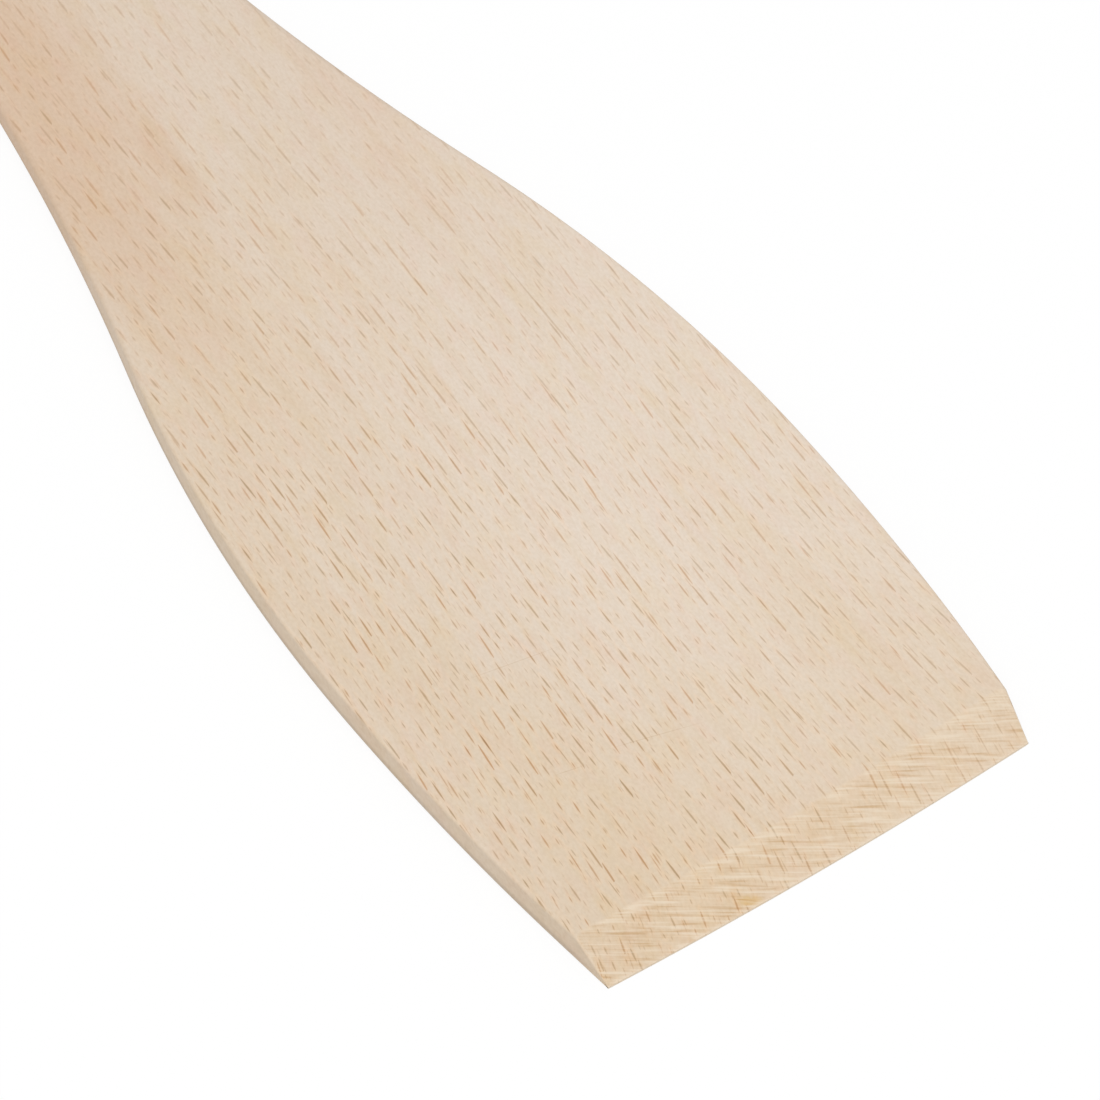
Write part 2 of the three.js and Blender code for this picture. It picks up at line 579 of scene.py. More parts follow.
    def with_rays(self, graph: Graph, colour: Socket, place: Socket, grain: Socket) -> tuple[Socket, Value]:
        """Adds the wood rays, bolder towards the lower front of the blade.

        Args:
            graph: The finish's graph.
            colour: The streaked wood.
            place: The place on the board, in millimetres.
            grain: The place along the grain, across it and through the board.

        Returns:
            The colour, and how much of a ray shows, 0 to 1.
        """
        x, y, _ = graph.split(place)
        palest, boldest = self.boldness
        middle = (palest + boldest) / 2
        forward = graph.ramp(x, self.bold_from[0], self.bold_to[0], palest, middle)
        sideways = graph.ramp(y, self.bold_to[1], self.bold_from[1], boldest - middle, 0.0)
        bold = graph.math("MULTIPLY", graph.math("ADD", forward, sideways), self.on_flats(graph))
        bold = graph.math("MULTIPLY", bold, self.off_bevel(graph))
        redness = graph.ramp(x, self.bold_from[0], self.bold_to[0], *self.redness)
        shown: Value = 0.0
        for layer in self.rays:
            dash, margin, hue = self.ray_layer(graph, layer, grain)
            colour = graph.stain(colour, opaque(self.margin), graph.math("MULTIPLY", margin, bold))
            amount = graph.math("MULTIPLY", dash, bold)
            red_share = graph.math("POWER", hue, redness)
            tint = graph.mix("MIX", opaque(self.brown_ray), opaque(self.orange_ray), red_share)
            colour = graph.stain(colour, tint, amount)
            shown = graph.math("MAXIMUM", shown, amount)
        return colour, shown

    def with_walls(self, graph: Graph, colour: Socket, place: Socket) -> Socket:
        """Tones the side walls, partly with the side grain's own tone and partly with painted shade, which is
        darkest low on them.

        Args:
            graph: The finish's graph.
            colour: The wood with its rays.
            place: The place on the board, in millimetres.

        Returns:
            The colour.
        """
        forward, _, height = graph.split(place)
        # side walls: the side grain's own tone together with painted shade
        wall = graph.ramp(self.upright(graph), *self.wall_turn)
        colour = graph.stain(colour, opaque(self.wall), wall)
        # painted shade low on the side walls, fading out towards the tip
        base_shade = graph.ramp(height, *self.base_shade_height, 1.0, 0.0)
        base_shade = graph.math("MULTIPLY", base_shade, graph.ramp(forward, *self.base_shade_end, 1.0, self.base_shade_left))
        return graph.stain(colour, opaque(self.base_shade), graph.math("MULTIPLY", wall, base_shade))

    def on_flats(self, graph: Graph) -> Socket:
        """Gives how much of the rays shows: all on the flat faces and little on the side walls."""
        return graph.ramp(self.upright(graph), *self.ray_turn, 1.0, self.wall_rays)

    def off_bevel(self, graph: Graph) -> Socket:
        """Gives how much of the rays shows: all on the board and less where the bevel is ground."""
        place = graph.node("Attribute", attribute_name=MARK_PLACE).outputs["Vector"]
        return graph.ramp(graph.split(place)[2], 0.0, 1.0, 1.0, self.bevel_share)

    def upright(self, graph: Graph) -> Socket:
        """Gives how upright the face is: 0 on the flats and the tip, 1 on the side walls."""
        return graph.node("Attribute", attribute_name=UPRIGHT).outputs["Fac"]

    def ray_layer(self, graph: Graph, layer: RayLayer, grain: Socket) -> tuple[Socket, Socket, Socket]:
        """Draws the dashes of one layer: one lens in each cell of a grid of loose cells.

        Args:
            graph: The finish's graph.
            layer: The layer's sizes.
            grain: The place along the grain, across it and through the board.

        Returns:
            How much of a dash shows, how much of its warm margins shows, and its hue, all 0 to 1.
        """
        at, across, depth = graph.split(grain)
        lean = graph.ramp(across, self.bold_to[1], self.bold_from[1], *self.ray_lean)
        along = graph.math("MULTIPLY_ADD", graph.math("SUBTRACT", depth, self.board_top), lean, at)
        row = graph.math("DIVIDE", across, layer.pitch[1])
        column = graph.math("MULTIPLY_ADD", row, self.row_shift, graph.math("DIVIDE", along, layer.pitch[0]))
        shifted = graph.vector("ADD", graph.join(column, row, 0.0), (layer.seed, layer.seed, 0.0))
        inputs = {"Vector": shifted, "Scale": 1.0, "Randomness": self.looseness}
        cells = graph.node("TexVoronoi", inputs, feature="F1", voronoi_dimensions="2D", label=layer.name)
        column, row, _ = graph.split(graph.vector("SUBTRACT", shifted, cells.outputs["Position"]))
        column = graph.math("MULTIPLY_ADD", row, -self.row_shift, column)
        along = graph.math("MULTIPLY", column, layer.pitch[0])
        across = graph.math("MULTIPLY", row, layer.pitch[1])
        size_draw, hue, dark_draw = graph.split(cells.outputs["Color"])
        broad = graph.ramp(at, self.bold_from[0], self.bold_to[0], self.neck_breadth, 1.0)
        missing = graph.ramp(at, self.bold_from[0], self.bold_to[0], self.neck_gaps, 0.0)

        tilt = graph.math("MULTIPLY", graph.math("SUBTRACT", hue, MIDDLE), self.ray_tilt)
        across = graph.math("MULTIPLY_ADD", along, tilt, across)
        length_draw = graph.math("POWER", size_draw, self.length_power)
        half_length = self.between(graph, layer.half_length, length_draw)
        half_width = graph.math("MULTIPLY", self.between(graph, layer.half_width, size_draw), broad)
        apart = graph.math("SUBTRACT", size_draw, dark_draw)
        draw = graph.math("MULTIPLY_ADD", apart, self.size_weight, dark_draw)
        strength = graph.ramp(draw, missing, 1.0, *layer.strength)
        soft = graph.math("MULTIPLY", graph.math("MULTIPLY", broad, broad), self.soft_rim)

        share = graph.math("DIVIDE", along, half_length)
        rim = graph.math("SUBTRACT", 1.0, graph.math("MULTIPLY", share, share))
        edge = graph.math("MULTIPLY", rim, half_width)
        inside = graph.math("SUBTRACT", edge, graph.math("ABSOLUTE", across))
        lens = graph.ramp(inside, graph.math("MULTIPLY", soft, -self.rim_outside), soft)
        margin = graph.ramp(inside, -self.margin_width, -self.soft_rim)
        return graph.math("MULTIPLY", lens, strength), graph.math("MULTIPLY", margin, strength), hue

    def between(self, graph: Graph, limits: tuple[float, float], draw: Socket) -> Socket:
        """Picks a number between two limits by a draw from 0 to 1."""
        low, high = limits
        return graph.math("MULTIPLY_ADD", draw, high - low, low)

    def with_marks(self, graph: Graph, colour: Socket) -> tuple[Socket, Socket]:
        """Colours the bevel's cut grain, with painted shade in the grinding marks and painted highlight on
        their crests.

        Args:
            graph: The finish's graph.
            colour: The wood with its rays.

        Returns:
            The colour, and the height of the finest marks.
        """
        relief = graph.node("Attribute", attribute_name=RELIEF).outputs["Fac"]
        place = graph.node("Attribute", attribute_name=MARK_PLACE).outputs["Vector"]
        _, _, share = graph.split(place)
        clouds = graph.noise(place, (*self.mark_spread, ENDLESS), self.mark_seed, self.mark_detail)
        fine = graph.math("MULTIPLY", graph.math("SUBTRACT", clouds.outputs["Fac"], MIDDLE), share)
        level = graph.math("MULTIPLY_ADD", fine, self.mark_share, relief)
        colour = graph.stain(colour, opaque(self.ground), share)
        # painted shade in the grooves of the grinding marks
        colour = graph.stain(colour, opaque(self.mark), graph.ramp(level, *self.mark_levels))
        # painted highlight on the crests of the relief, on the pale lip and on the tip's edge
        ridge_highlights = graph.ramp(level, *self.ridge_highlight_levels, 0.0, self.ridge_highlight_share)
        return graph.mix("MIX", colour, from_srgb(self.ridge_highlight), ridge_highlights), fine


@dataclass(frozen=True)
class GrindNoise:
    """Noise that is drawn out along the grinding marks.

    Attributes:
        length: The size of a cloud along the marks, in millimetres.
        width: The size of a cloud across the marks, in millimetres.
        height: How much the noise counts.
        seed: An offset that sets this noise apart from others.
    """

    length: float
    width: float
    height: float
    seed: float

    def at(self, along: float, across: float) -> float:
        """Gives the noise at a place along the marks and across them."""
        return self.height * noise.noise(Vector((along / self.length, across / self.width, self.seed)))


GRIND_WAVE = GrindNoise(8, 4, 0.3, 1.5)
GRIND_MARKS = (GrindNoise(10, 0.8, 0.5, 0), GrindNoise(7, 0.38, 0.9, 7))


class Face(Enum):
    """The board's faces, each with the bottom and the height of its strip on the unwrapped map, in pixels."""

    TOP = (8, 440)
    UNDERSIDE = (456, 330)
    BEVEL = (794, 100)
    RIGHT_WALL = (902, 42)
    LEFT_WALL = (952, 42)
    TIP_EDGE = (1002, 14)


@dataclass
class Spatula:
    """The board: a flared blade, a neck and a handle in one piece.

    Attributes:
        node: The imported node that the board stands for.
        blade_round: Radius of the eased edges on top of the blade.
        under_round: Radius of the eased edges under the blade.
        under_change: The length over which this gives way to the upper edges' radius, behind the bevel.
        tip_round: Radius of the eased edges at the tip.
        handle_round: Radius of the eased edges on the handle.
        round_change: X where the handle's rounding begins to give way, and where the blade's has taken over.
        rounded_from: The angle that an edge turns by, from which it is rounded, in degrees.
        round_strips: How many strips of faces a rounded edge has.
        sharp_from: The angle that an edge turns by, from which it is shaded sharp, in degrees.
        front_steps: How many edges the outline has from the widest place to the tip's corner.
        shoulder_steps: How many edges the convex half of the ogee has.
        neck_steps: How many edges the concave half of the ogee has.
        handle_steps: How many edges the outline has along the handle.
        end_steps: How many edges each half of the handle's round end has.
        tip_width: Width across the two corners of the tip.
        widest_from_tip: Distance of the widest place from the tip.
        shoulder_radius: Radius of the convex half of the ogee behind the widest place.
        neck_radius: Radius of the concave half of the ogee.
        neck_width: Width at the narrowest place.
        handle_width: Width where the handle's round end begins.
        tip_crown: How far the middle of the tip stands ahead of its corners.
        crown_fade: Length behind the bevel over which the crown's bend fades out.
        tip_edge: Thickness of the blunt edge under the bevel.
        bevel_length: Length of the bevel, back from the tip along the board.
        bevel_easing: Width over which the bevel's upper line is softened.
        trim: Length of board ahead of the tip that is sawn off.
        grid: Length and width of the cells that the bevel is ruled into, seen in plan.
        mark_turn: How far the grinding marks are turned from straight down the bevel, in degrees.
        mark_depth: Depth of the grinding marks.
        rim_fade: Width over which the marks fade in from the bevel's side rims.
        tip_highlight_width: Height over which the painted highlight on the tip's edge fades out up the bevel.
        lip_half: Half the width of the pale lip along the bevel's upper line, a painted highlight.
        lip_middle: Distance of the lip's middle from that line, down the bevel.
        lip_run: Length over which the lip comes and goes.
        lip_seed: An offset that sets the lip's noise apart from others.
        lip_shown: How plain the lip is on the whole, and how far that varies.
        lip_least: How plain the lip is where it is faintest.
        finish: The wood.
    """

    node: str = "spatula"
    blade_round: float = 0.4 * MM
    under_round: float = 0.65 * MM
    under_change: float = 12 * MM
    tip_round: float = 0.05 * MM
    handle_round: float = 1.2 * MM
    round_change: tuple[float, float] = (15 * MM, 70 * MM)
    rounded_from: float = 45
    round_strips: int = 6
    sharp_from: float = 40
    front_steps: int = 48
    shoulder_steps: int = 24
    neck_steps: int = 30
    handle_steps: int = 24
    end_steps: int = 14
    tip_width: float = 54.2 * MM
    widest_from_tip: float = 44.5 * MM
    shoulder_radius: float = 195 * MM
    neck_radius: float = 335 * MM
    neck_width: float = 22.7 * MM
    handle_width: float = 26 * MM
    tip_crown: float = 0.6 * MM
    crown_fade: float = 12 * MM
    tip_edge: float = 0.3 * MM
    bevel_length: float = 5 * MM
    bevel_easing: float = 0.5 * MM
    trim: float = 4 * MM
    grid: tuple[float, float] = (0.12 * MM, 0.2 * MM)
    mark_turn: float = 62.5
    mark_depth: float = 0.05 * MM
    rim_fade: float = 0.7 * MM
    tip_highlight_width: float = 0.6 * MM
    lip_half: float = 0.8 * MM
    lip_middle: float = 0.25 * MM
    lip_run: float = 6 * MM
    lip_seed: float = 3.3
    lip_shown: tuple[float, float] = (0.4, 0.9)
    lip_least: float = 0.1
    finish: BeechFinish = field(default_factory=BeechFinish)

    def __post_init__(self) -> None:
        """Takes the board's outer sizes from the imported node, places the bevel and starts the mesh."""
        low, high = (Vector(corner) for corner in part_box(self.node))
        self.butt_x = low.x
        self.tip_x = high.x
        self.half_blade = high.y
        self.thickness = high.z
        self.half_tip = self.tip_width / 2
        self.half_neck = self.neck_width / 2
        self.half_handle = self.handle_width / 2
        self.front_radius, self.front_turn = tangent_arc(self.widest_from_tip - self.tip_crown,
                                                         self.half_blade - self.half_tip)
        self.down_bevel = Vector((self.bevel_length, 0, self.tip_edge - self.thickness)).normalized()
        self.off_bevel = Vector((-self.down_bevel.z, 0, self.down_bevel.x))
        self.bevel_top = Vector((self.tip_x - self.bevel_length, 0, self.thickness))
        self.ruled_x = self.bevel_top.x - self.bevel_easing
        self.end_x = self.butt_x + self.half_handle
        self.board: BMesh = bmesh.new()

    def build(self) -> bpy.types.Object:
        """Makes the board and dresses it.

        Returns:
            The board's object.
        """
        self.draw_outline()
        self.raise_board()
        self.grind_tip()
        self.ease_edges()
        self.rule_bevel()
        self.crown_tip()
        self.soften_tip()
        bmesh.ops.recalc_face_normals(self.board, faces=self.board.faces[:])
        self.mark_bevel()
        self.note_walls()
        self.unwrap()
        mesh = bpy.data.meshes.new(self.node)
        self.board.to_mesh(mesh)
        self.board.free()
        for polygon in mesh.polygons:
            polygon.use_smooth = True
        mesh.set_sharp_from_angle(angle=math.radians(self.sharp_from))
        piece = add_object("beech_board", mesh)
        shading = piece.modifiers.new("flat shading of the flats", "WEIGHTED_NORMAL")
        shading.keep_sharp = True
        mesh.materials.append(self.finish.material())
        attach(piece, "root")
        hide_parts(self.node)
        return piece

    def sweep(self, start: BMVert, centre: tuple[float, float], turn: float, steps: int) -> BMVert:
        """Draws an arc of edges on from a vertex.

        Args:
            start: The vertex that the arc begins at.
            centre: X and Y of the arc's centre.
            turn: The arc's angle, counter-clockwise from above.
            steps: How many edges the arc has.

        Returns:
            The vertex at the arc's end.
        """
        swept = bmesh.ops.spin(self.board, geom=[start], cent=(*centre, 0), axis=UP, angle=turn,
                               steps=steps, use_merge=False, use_normal_flip=False, use_duplicate=False)
        return next(part for part in swept["geom_last"] if isinstance(part, BMVert))

    def draw_outline(self) -> None:
        """Draws the board's outline as arcs on one side of the line of symmetry, and mirrors them."""
        widest_x = self.tip_x - self.widest_from_tip
        ogee_radii = self.shoulder_radius + self.neck_radius
        ogee_turn = math.acos(1 - (self.half_blade - self.half_neck) / ogee_radii)
        neck_x = widest_x - ogee_radii * math.sin(ogee_turn)

        widest = self.board.verts.new((widest_x, self.half_blade, 0))
        front_centre = (widest_x, self.half_blade - self.front_radius)
        corner = self.sweep(widest, front_centre, -self.front_turn, self.front_steps)
        stock = bmesh.ops.extrude_vert_indiv(self.board, verts=[corner])["verts"]
        ahead = Vector((math.cos(self.front_turn), -math.sin(self.front_turn), 0)) * self.trim
        bmesh.ops.translate(self.board, verts=stock, vec=ahead)

        shoulder_centre = (widest_x, self.half_blade - self.shoulder_radius)
        shoulder = self.sweep(widest, shoulder_centre, ogee_turn, self.shoulder_steps)
        neck_centre = (neck_x, self.half_neck + self.neck_radius)
        neck = self.sweep(shoulder, neck_centre, -ogee_turn, self.neck_steps)
        handle_radius, handle_turn = tangent_arc(neck_x - self.end_x, self.half_handle - self.half_neck)
        handle_centre = (neck_x, self.half_neck + handle_radius)
        end = self.sweep(neck, handle_centre, -handle_turn, self.handle_steps)
        self.sweep(end, (self.end_x, 0), math.pi / 2, self.end_steps)

        bmesh.ops.mirror(self.board, geom=self.everything(), matrix=Matrix.Identity(4), merge_dist=TINY,
                         axis="Y")
        bmesh.ops.remove_doubles(self.board, verts=self.board.verts[:], dist=TINY)
        open_ends = [vert for vert in self.board.verts if len(vert.link_edges) == 1]
        self.board.edges.new(open_ends)

    def everything(self) -> list[BMVert | BMEdge | BMFace]:
        """Lists all parts of the mesh."""
        return self.board.verts[:] + self.board.edges[:] + self.board.faces[:]

    def cut(self, parts: list, place: Vector, normal: Vector, clear: bool = False) -> dict[str, list]:
        """Cuts parts of the mesh along a plane, and clears what lies beyond the plane if asked to."""
        return bmesh.ops.bisect_plane(self.board, geom=parts, dist=TINY, plane_co=place, plane_no=normal,
                                      clear_outer=clear)

    def raise_board(self) -> None:
        """Fills the outline and gives the sheet its thickness."""
        bmesh.ops.contextual_create(self.board, geom=self.board.edges[:])
        raised = bmesh.ops.extrude_face_region(self.board, geom=self.board.faces[:], use_keep_orig=True)
        top = [part for part in raised["geom"] if isinstance(part, BMVert)]
        bmesh.ops.translate(self.board, verts=top, vec=UP * self.thickness)
        bmesh.ops.recalc_face_normals(self.board, faces=self.board.faces[:])

    def ease_edges(self) -> None:
        """Rounds the long edges of the board, a little on the blade and more on the handle."""
        weight = self.board.edges.layers.float.new("bevel_weight_edge")
        for edge in self.board.edges:
            edge[weight] = self.rounding_of(edge) / self.handle_round
        mesh = bpy.data.meshes.new("sawn_board")
        self.board.to_mesh(mesh)
        self.board.free()
        sawn = add_object("sawn_board", mesh)
        rounding = sawn.modifiers.new("rounding", "BEVEL")
        rounding.limit_method = "WEIGHT"
        rounding.width = self.handle_round
        rounding.segments = self.round_strips
        rounding.profile = ROUND_PROFILE
        rounding.use_clamp_overlap = False
        self.board = bmesh.new()
        self.board.from_object(sawn, bpy.context.evaluated_depsgraph_get())
        bpy.data.objects.remove(sawn)
        bpy.data.meshes.remove(mesh)
        for vert in self.board.verts:
            vert.co.x = max(vert.co.x, self.butt_x)

    def rounding_of(self, edge: BMEdge) -> float:
        """Finds the radius that an edge is rounded to.

        Args:
            edge: An edge of the ground board.

        Returns:
            The radius, 0 for an edge that stays sharp.
        """
        middle = (edge.verts[0].co + edge.verts[1].co) / 2
        if edge.calc_face_angle(0) < math.radians(self.rounded_from) or middle.x > self.tip_x - TINY:
            return 0
        low, high = self.round_change
        share = held((middle.x - low) / (high - low))
        under = held((self.bevel_top.x - middle.x) / self.under_change) if middle.z < TINY else 0
        blade_radius = self.blade_round + (self.under_round - self.blade_round) * under
        radius = self.handle_round + (blade_radius - self.handle_round) * share
        beside_bevel = max(middle.x - self.bevel_top.x, 0) / self.bevel_length
        return radius + (self.tip_round - radius) * beside_bevel

    def grind_tip(self) -> None:
        """Saws the board off at the tip and grinds the bevel."""
        tip = Vector((self.tip_x, 0, 0))
        for place, outward in ((tip, TIPWARD), (self.bevel_top, self.off_bevel)):
            cut = self.cut(self.everything(), place, outward, clear=True)
            rim = [part for part in cut["geom_cut"] if isinstance(part, BMEdge)]
            bmesh.ops.contextual_create(self.board, geom=rim)
        bmesh.ops.recalc_face_normals(self.board, faces=self.board.faces[:])

    def rule_bevel(self) -> None:
        """Rules the bevel and the strip behind it into a fine grid, to take the crown and the marks."""
        self.cut(self.everything(), TIPWARD * self.ruled_x, TIPWARD)
        self.board.normal_update()
        faces = [face for face in self.board.faces if face.calc_center_median().x > self.ruled_x
                 and face.normal.z > -FACES_UP and abs(face.normal.y) < FACES_ASIDE]
        edges = list({edge for face in faces for edge in face.edges})
        verts = list({vert for face in faces for vert in face.verts})
        parts = faces + edges + verts
        length, width = self.grid
        columns = round(2 * self.half_blade / width)
        rows = round((self.tip_x - self.ruled_x) / length)
        for index in range(1, columns):
            parts = self.cut(parts, SIDEWAYS * (width * (index - columns / 2)), SIDEWAYS)["geom"]
        for index in range(1, rows):
            parts = self.cut(parts, TIPWARD * (self.ruled_x + length * index), TIPWARD)["geom"]
        self.board.normal_update()

    def crown_tip(self) -> None:
        """Bends the front of the board to the tip's crown, and lets the bend fade out behind the bevel."""
        for vert in self.board.verts:
            behind = max(self.ruled_x - vert.co.x, 0) / self.crown_fade
            vert.co.x -= self.crown_at(vert.co.y) * max(1 - behind, 0)

    def crown_at(self, y: float) -> float:
        """Gives how far the tip lies behind its middle at a place across the board."""
        return self.tip_crown * (y / self.half_tip) ** 2

    def from_line(self, place: Vector) -> float:
        """Gives how far a place lies down the bevel from its upper line, below 0 back on the top."""
        ahead = place.x + self.crown_at(place.y) - self.bevel_top.x
        return ahead / self.down_bevel.x if ahead > 0 else ahead

    def soften_tip(self) -> None:
        """Rounds off the bevel's upper line."""
        inward = -(UP + self.off_bevel).normalized()
        sag = self.bevel_easing * math.tan(UP.angle(self.off_bevel) / 4)
        for vert in self.board.verts:
            share = 1 - abs(self.from_line(vert.co)) / self.bevel_easing
            if share > 0 and vert.co.z > self.thickness / 2:
                vert.co += inward * sag * share ** 2 * self.off_rim(vert.co)
        self.board.normal_update()

    def off_rim(self, place: Vector) -> float:
        """Tells the bevel's side rims from its middle.

        Args:
            place: The place on the bevel.

        Returns:
            0 at the two side rims, rising to 1 a little way inside them.
        """
        run = place.x - (self.tip_x - self.widest_from_tip)
        half = self.half_blade - self.front_radius + math.sqrt(self.front_radius ** 2 - run ** 2)
        inside = half - self.blade_round - abs(place.y)
        return held(inside / self.rim_fade)

    def mark_bevel(self) -> None:
        """Roughens the bevel with the marks of the grinding, and notes them and the painted highlights for
        the finish.
        """
        relief = self.board.loops.layers.float.new(RELIEF)
        mark_place = self.board.loops.layers.float_vector.new(MARK_PLACE)
        ground = [face for face in self.board.faces if is_ground(face)]
        places = {vert: self.on_marks(vert.co) for face in ground for vert in face.verts}
        for face in ground:
            for loop in face.loops:
                loop[mark_place] = places[loop.vert]
                place = loop.vert.co
                # the relief also holds the painted highlights of the pale lip and of the tip's edge
                loop[relief] = max(relief_at(places[loop.vert]), self.tip_highlight_at(place), self.lip_highlight_at(place))
        # painted highlight: the tip's blunt edge is drawn pale
        for face in self.board.faces:
            if face.normal.x > SQUARE_AHEAD:
                for loop in face.loops:
                    loop[relief] = 1
        for vert, place in places.items():
            if vert.co.z > self.tip_edge + TINY:
                sink = self.mark_depth * (relief_at(place) - place.z)
                vert.co += self.off_bevel * sink * self.off_rim(vert.co)

    def note_walls(self) -> None:
        """Notes for the finish how upright each face stands, with 0 for the tip's faces."""
        upright = self.board.loops.layers.float.new(UPRIGHT)
        for face in self.board.faces:
            if self.side_of(face) not in (Face.BEVEL, Face.TIP_EDGE):
                for loop in face.loops:
                    loop[upright] = math.hypot(face.normal.x, face.normal.y)

    def tip_highlight_at(self, place: Vector) -> float:
        """Gives 1 at the tip's edge, which has a painted highlight, falling to -1 a little way up the bevel.
        """
        return 1 - 2 * (place.z - self.tip_edge) / self.tip_highlight_width

    def lip_highlight_at(self, place: Vector) -> float:
        """Finds the pale lip along the bevel's upper line, a painted highlight which comes and goes.

        Args:
            place: The place on the board.

        Returns:
            How plain the lip is there, up to about 1, and below 0 off the lip.
        """
        off_middle = (self.from_line(place) - self.lip_middle) / self.lip_half
        on_the_whole, change = self.lip_shown
        shown = on_the_whole + change * noise.noise(Vector((place.y / self.lip_run, self.lip_seed, 0)))
        return (1 - off_middle ** 2) * max(shown, self.lip_least)

    def on_marks(self, place: Vector) -> Vector:
        """Turns a place on the bevel to the grinding marks.

        Args:
            place: The place on the board.

        Returns:
            The place along the marks and across them, in millimetres, and how much of them shows, 0 to 1.
        """
        turn = math.radians(self.mark_turn)
        down = self.from_line(place)
        shown = held(1 + down / self.bevel_easing)
        along = down * math.cos(turn) + place.y * math.sin(turn)
        across = down * math.sin(turn) - place.y * math.cos(turn)
        return Vector((along * PER_METRE, across * PER_METRE, shown))

    def side_of(self, face: BMFace) -> Face:
        """Tells which of the board's faces a face of the mesh belongs to.

        Args:
            face: A face of the mesh.

        Returns:
            The board's face.
        """
        normal = face.normal
        if normal.x > FACES_AHEAD:
            return Face.BEVEL if normal.z > FACES_UP else Face.TIP_EDGE
        if abs(normal.z) > LIES_FLAT:
            return Face.TOP if normal.z > 0 else Face.UNDERSIDE
        return Face.LEFT_WALL if face.calc_center_median().y > 0 else Face.RIGHT_WALL

    def unwrap(self) -> None:
        """Lays the faces out as strips on a map, so that a baked texture holds the fine flecks."""
        layer = self.board.loops.layers.uv.new("OFBake")
        for face in self.board.faces:
            side = self.side_of(face)
            bottom, height = side.value
            for loop in face.loops:
                along, upward = self.on_strip(side, loop.vert.co)
                u = MAP_MARGIN + held(along) * (MAP_SIDE - 2 * MAP_MARGIN)
                v = bottom + held(upward) * height
                loop[layer].uv = (u / MAP_SIDE, v / MAP_SIDE)

    def on_strip(self, side: Face, place: Vector) -> tuple[float, float]:
        """Finds where a place lies on its face's strip of the map.

        Args:
            side: The board's face.
            place: The place on it.

        Returns:
            The shares of the strip's length and of its height.
        """
        x, y, z = place
        if side in (Face.TOP, Face.UNDERSIDE):
            length = self.tip_x - self.butt_x
            return (x - self.butt_x) / length, (y + self.half_blade) / (2 * self.half_blade)
        if side in (Face.BEVEL, Face.TIP_EDGE):
            reach = self.thickness if side is Face.BEVEL else self.tip_edge
            return (y + self.half_tip) / self.tip_width, z / reach
        straight = self.tip_x - self.end_x
        round_end = self.half_handle * math.atan2(self.end_x - x, abs(y))
        run = straight + round_end if x < self.end_x else self.tip_x - x
        return run / (straight + self.half_handle * math.pi / 2), z / self.thickness


def add_object(name: str, data: bpy.types.ID) -> bpy.types.Object:
    """Adds an object to the scene.

    Args:
        name: The object's name.
        data: Its mesh, camera or lamp.

    Returns:
        The object.
    """
    piece = bpy.data.objects.new(name, data)
    bpy.context.scene.collection.objects.link(piece)
    return piece


def held(value: float, low: float = 0, high: float = 1) -> float:
    """Holds a number between two limits."""
    return min(max(value, low), high)


def tangent_arc(run: float, rise: float) -> tuple[float, float]:
    """Finds the arc that leaves lengthwise and ends at a given run and rise.

    Args:
        run: The distance along the board from the arc's start to its end.
        rise: The distance across the board from the arc's start to its end.

    Returns:
        The arc's radius and its angle.
    """
    radius = (run * run + rise * rise) / (2 * rise)
    return radius, math.asin(run / radius)


def relief_at(mark_place: Vector) -> float:
    """Gives the height of the grinding marks.

    Args:
        mark_place: The place along the marks and across them, and how much of them shows.

    Returns:
        The height, from about -1 in a mark to about 1 at the top of a ridge.
    """
    along, across, shown = mark_place
    across += GRIND_WAVE.at(along, across)
    height = sum(marks.at(along, across) for marks in GRIND_MARKS)
    return shown * held(height, -1, 1)


def is_ground(face: BMFace) -> bool:
    """Tells whether a face belongs to the bevel or to its softened upper line."""
    x, y, z = face.normal
    return x > LEANS_AHEAD and abs(y) < LEANS_ASIDE and z > FACES_UP


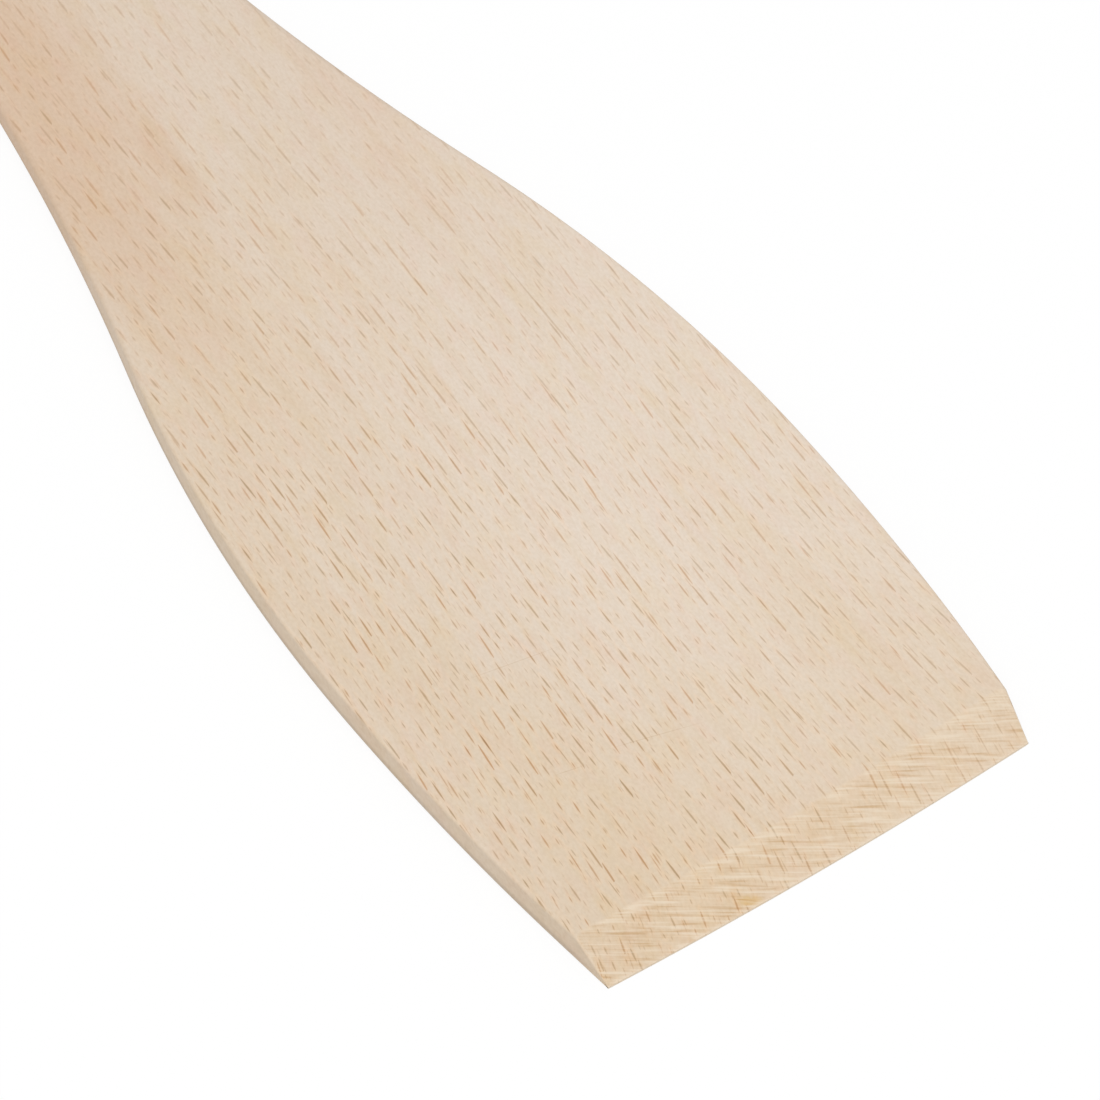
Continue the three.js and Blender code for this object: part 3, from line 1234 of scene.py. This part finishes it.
@dataclass
class Studio:
    """A white floor, soft light and the camera.

    Attributes:
        azimuth: Where the camera stands round the board, from -Y towards +X, in degrees.
        elevation: How high the camera stands above the horizon, in degrees.
        distance: The camera's distance from what it aims at.
        aim: The point that the camera aims at.
        focal_pixels: The lens's focal length in pixels of the picture.
        picture_side: The picture's width and height in pixels.
        sensor: The width of the camera's sensor, in millimetres.
        sight: How far the camera sees.
        ambient: The brightness that the room alone gives a white surface.
        lamp_place: Where the lamp hangs.
        lamp_side: The length of the lamp's sides.
        lamp_level: The brightness that the lamp alone gives a white surface that faces it.
        floor_side: The length of the floor's sides.
        floor_gap: The gap that keeps the floor clear of the board.
        floor_paper: The colour of the floor.
        glow: The strength of the floor's glow for the camera.
        glow_share: The share of the glow in what the camera sees of the floor. The rest shows the shadow.
    """

    azimuth: float = 54.845
    elevation: float = 53.025
    distance: float = 1.06375
    aim: tuple[float, float, float] = (99.696 * MM, 0.687 * MM, 0)
    focal_pixels: float = 10000
    picture_side: float = 1100
    sensor: float = 36
    sight: float = 100
    ambient: float = 0.62
    lamp_place: tuple[float, float, float] = (0.8, -0.5, 1.9)
    lamp_side: float = 1.6
    lamp_level: float = 0.42
    floor_side: float = 8.0
    floor_gap: float = 0.03 * MM
    floor_paper: Colour = (0.82, 0.82, 0.82, 1.0)
    glow: float = 1.04
    glow_share: float = 0.85

    def build(self) -> None:
        """Sets up the floor, the light and the camera."""
        self.place_camera()
        self.lay_floor()
        self.light_world()
        self.hang_lamp()
        bpy.context.scene.view_settings.view_transform = "Standard"

    def place_camera(self) -> None:
        """Puts the camera at the photograph's viewing angle."""
        camera = bpy.data.cameras.new("camera")
        camera.sensor_width = self.sensor
        camera.lens = camera.sensor_width * self.focal_pixels / self.picture_side
        camera.clip_end = self.sight
        piece = add_object("camera", camera)
        azimuth, elevation = math.radians(self.azimuth), math.radians(self.elevation)
        back = Vector((math.sin(azimuth) * math.cos(elevation), -math.cos(azimuth) * math.cos(elevation),
                       math.sin(elevation)))
        piece.location = Vector(self.aim) + back * self.distance
        piece.rotation_euler = (-back).to_track_quat("-Z", "Y").to_euler()
        bpy.context.scene.camera = piece

    def lay_floor(self) -> None:
        """Lays the floor, which shows white with the board's shadow faint on it."""
        sheet = bmesh.new()
        bmesh.ops.create_grid(sheet, x_segments=1, y_segments=1, size=self.floor_side / 2)
        bmesh.ops.translate(sheet, verts=sheet.verts[:], vec=-UP * self.floor_gap)
        mesh = bpy.data.meshes.new("floor")
        sheet.to_mesh(mesh)
        sheet.free()
        mesh.materials.append(self.floor_material())
        floor = add_object("floor", mesh)

    def floor_material(self) -> bpy.types.Material:
        """Makes the floor's white: matt paper that glows for the camera.

        Returns:
            The material.
        """
        material = bpy.data.materials.new("floor_white")
        material.use_nodes = True
        graph = Graph(material.node_tree)
        paper = graph.node("BsdfDiffuse", {"Color": self.floor_paper})
        glow = graph.node("Emission", {"Color": WHITE, "Strength": self.glow})
        floor = shown_apart(graph, paper.outputs["BSDF"], glow.outputs["Emission"], self.glow_share)
        graph.node("OutputMaterial", {"Surface": floor})
        return material

    def light_world(self) -> None:
        """Fills the room with soft light, and shows white where the camera looks past the floor."""
        world = bpy.data.worlds.new("studio")
        bpy.context.scene.world = world
        world.use_nodes = True
        graph = Graph(world.node_tree)
        room = graph.node("Background", {"Color": WHITE, "Strength": self.ambient})
        shown = graph.node("Background", {"Color": WHITE, "Strength": 1.0})
        surroundings = shown_apart(graph, room.outputs["Background"], shown.outputs["Background"])
        graph.node("OutputWorld", {"Surface": surroundings})

    def hang_lamp(self) -> None:
        """Hangs a square soft lamp that faces the middle of the blade."""
        lamp = bpy.data.lights.new("key", "AREA")
        lamp.shape = "SQUARE"
        lamp.size = self.lamp_side
        towards = Vector(self.aim) - Vector(self.lamp_place)
        lamp.energy = self.lamp_level * math.pi ** 2 * towards.length_squared
        piece = add_object("key", lamp)
        piece.location = self.lamp_place
        piece.rotation_euler = towards.to_track_quat("-Z", "Y").to_euler()


def shown_apart(graph: Graph, lighting: Socket, shown: Socket, share: float = 1.0) -> Socket:
    """Shows the camera, reflections and views through clear pieces another shader than the one that lights.

    Args:
        graph: The graph of the floor or of the room.
        lighting: The shader that lights the scene.
        shown: The shader that is shown.
        share: How much of it is shown. The rest shows the lighting one.

    Returns:
        The mixed shader.
    """
    path = graph.node("LightPath")
    seen = graph.math("MAXIMUM", path.outputs["Is Camera Ray"], path.outputs["Is Glossy Ray"])
    seen = graph.math("MAXIMUM", seen, path.outputs["Is Transmission Ray"])
    mix = graph.node("MixShader", {0: graph.math("MULTIPLY", seen, share), 1: lighting, 2: shown})
    return mix.outputs["Shader"]


def main() -> None:
    """Builds the studio and the board, and reports them."""
    logging.basicConfig(level=logging.INFO, format="%(name)s: %(message)s")
    Studio().build()
    board = Spatula().build()
    log.info("%s: %d faces", board.name, len(board.data.polygons))


if __name__ == "__main__":
    main()
